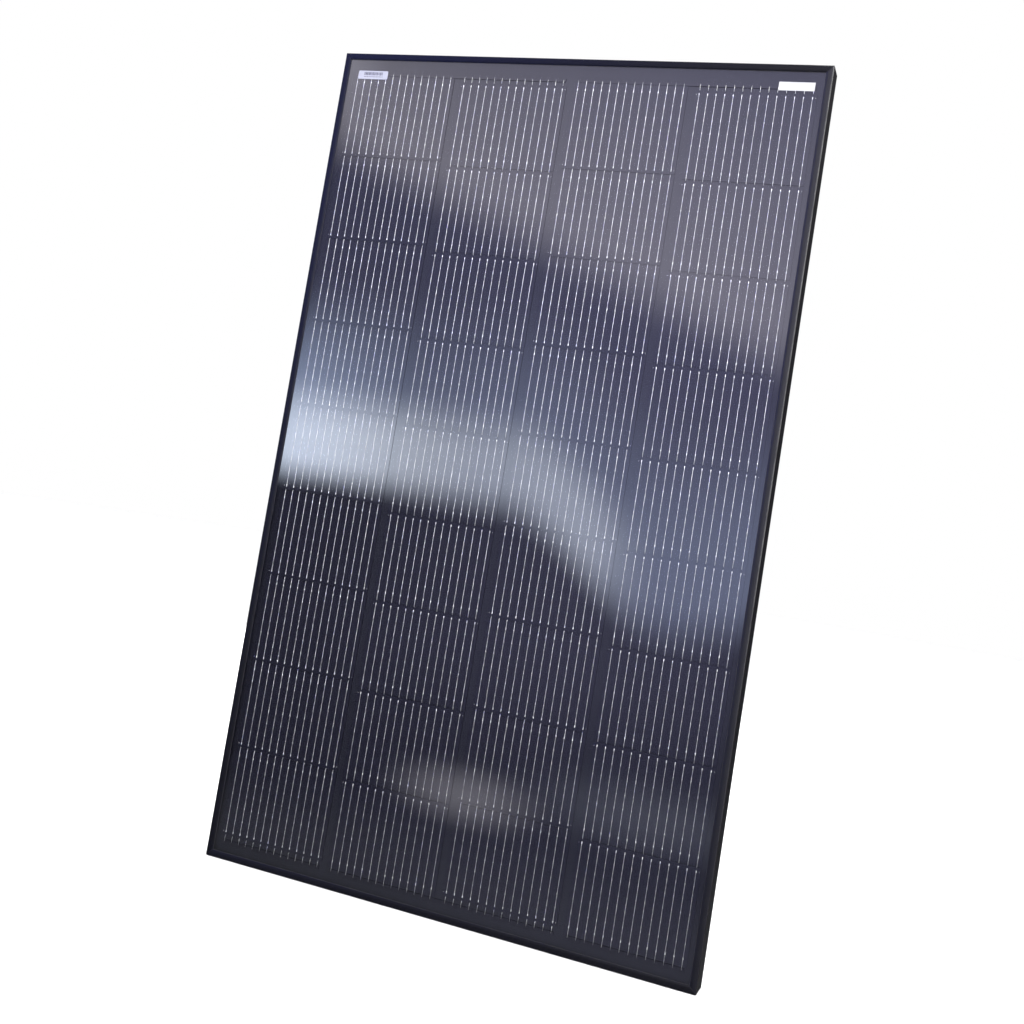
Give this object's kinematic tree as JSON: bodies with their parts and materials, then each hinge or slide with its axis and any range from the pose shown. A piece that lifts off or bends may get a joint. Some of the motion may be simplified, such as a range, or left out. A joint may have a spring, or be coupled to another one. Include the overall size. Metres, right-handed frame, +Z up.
{
  "type": "framed solar panel",
  "caption": "Black framed solar panel with black cells and fine silver ribbons under glass, a hollow mitred aluminium frame with a slotted rear flange, and a hinged-lid junction box behind.",
  "frame": {"origin": "middle of the bottom edge, halfway through the depth of the frame", "axes": "+Z up the long edges, +X to the right seen from the front, -Y out of the glass and +Y out of the rear"},
  "size_m": [0.705, 0.035, 1.172],
  "materials": {
    "frame_aluminium": "black anodised, satin, with a fine grain along the rail",
    "corner_key": "plain pressed aluminium, hidden in the frame corners",
    "sealant": "matt black silicone sealant",
    "solar_glass": "low-iron tempered glass with a faint satin texture, which blurs what it reflects",
    "encapsulant": "clear laminating film, no surface of its own in use",
    "silicon_cell": "near-black monocrystalline silicon with a faint blue cast, finger lines and silver ribbons",
    "backsheet": "matt black film with a faint roller texture",
    "box_plastic": "black moulded plastic with a fine spark texture",
    "gasket_rubber": "soft black rubber",
    "tinned_copper": "bright tinned copper with a soft rolled surface",
    "diode_body": "black moulded epoxy with a pale band at one end",
    "label_film": null
  },
  "bodies": {
    "panel": {"frame_rail_bottom": "frame_aluminium", "frame_rail_right": "frame_aluminium", "frame_rail_top": "frame_aluminium", "frame_rail_left": "frame_aluminium", "corner_key_bottom_left": "corner_key", "corner_key_bottom_right": "corner_key", "corner_key_top_right": "corner_key", "corner_key_top_left": "corner_key", "edge_seal": "sealant", "glass": "solar_glass", "front_encapsulant": "encapsulant", "rear_encapsulant": "encapsulant", "backsheet": "backsheet", "junction_box_base": "box_plastic", "box_adhesive": "sealant", "gland_nut_left": "box_plastic", "gland_nut_right": "box_plastic", "terminal_negative": "tinned_copper", "terminal_middle": "tinned_copper", "terminal_positive": "tinned_copper", "bypass_diode_left": "diode_body", "bypass_diode_right": "diode_body", "cell_r1_c1": "silicon_cell", "cell_r1_c2": "silicon_cell", "cell_r1_c3": "silicon_cell", "cell_r1_c4": "silicon_cell", "cell_r2_c1": "silicon_cell", "cell_r2_c2": "silicon_cell", "cell_r2_c3": "silicon_cell", "cell_r2_c4": "silicon_cell", "cell_r3_c1": "silicon_cell", "cell_r3_c2": "silicon_cell", "cell_r3_c3": "silicon_cell", "cell_r3_c4": "silicon_cell", "cell_r4_c1": "silicon_cell", "cell_r4_c2": "silicon_cell", "cell_r4_c3": "silicon_cell", "cell_r4_c4": "silicon_cell", "cell_r5_c1": "silicon_cell", "cell_r5_c2": "silicon_cell", "cell_r5_c3": "silicon_cell", "cell_r5_c4": "silicon_cell", "cell_r6_c1": "silicon_cell", "cell_r6_c2": "silicon_cell", "cell_r6_c3": "silicon_cell", "cell_r6_c4": "silicon_cell", "cell_r7_c1": "silicon_cell", "cell_r7_c2": "silicon_cell", "cell_r7_c3": "silicon_cell", "cell_r7_c4": "silicon_cell", "cell_r8_c1": "silicon_cell", "cell_r8_c2": "silicon_cell", "cell_r8_c3": "silicon_cell", "cell_r8_c4": "silicon_cell", "cell_r9_c1": "silicon_cell", "cell_r9_c2": "silicon_cell", "cell_r9_c3": "silicon_cell", "cell_r9_c4": "silicon_cell"},
    "box_lid": {"junction_box_lid": "box_plastic", "lid_gasket": "gasket_rubber"}
  },
  "joints": [
    {"name": "lid_hinge", "type": "hinge", "parent": "panel", "child": "box_lid", "pos_m": [0, 0.00781, 0.1694], "axis": [1, 0, 0], "range_deg": [0, 110]}
  ]
}
